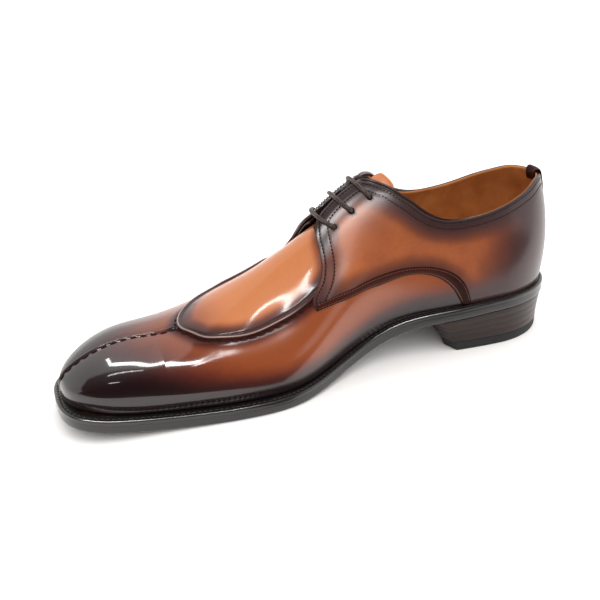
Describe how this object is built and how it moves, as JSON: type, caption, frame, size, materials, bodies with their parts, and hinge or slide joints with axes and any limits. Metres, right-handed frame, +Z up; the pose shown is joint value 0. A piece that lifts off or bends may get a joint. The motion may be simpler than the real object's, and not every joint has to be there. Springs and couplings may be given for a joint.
{
  "type": "derby shoe",
  "caption": "Leather derby dress shoe for the right foot with a split toe, raised apron seam, open lacing, welted leather sole and stacked heel.",
  "frame": {"origin": "middle of the sole's box on the floor plane", "axes": "+X towards the toe, +Y towards the inner side of the foot, +Z up"},
  "size_m": [0.3076, 0.1034, 0.11],
  "materials": {
    "upper_leather": "polished, burnished dark at toe, heel and seams",
    "tongue_leather": "matt lining",
    "insole_leather": "matt",
    "welt_leather": "waxed edge",
    "sole_leather": "waxed, glossy edge",
    "heel_leather": "waxed stacked lifts",
    "heel_rubber": "matt",
    "lace_cord": "waxed cotton"
  },
  "bodies": {
    "root": {"upper": "upper_leather", "tongue": "tongue_leather", "insole": "insole_leather", "welt": "welt_leather", "outsole": "sole_leather", "heel_stack": "heel_leather", "top_piece": "heel_rubber", "laces": "lace_cord"}
  },
  "joints": []
}
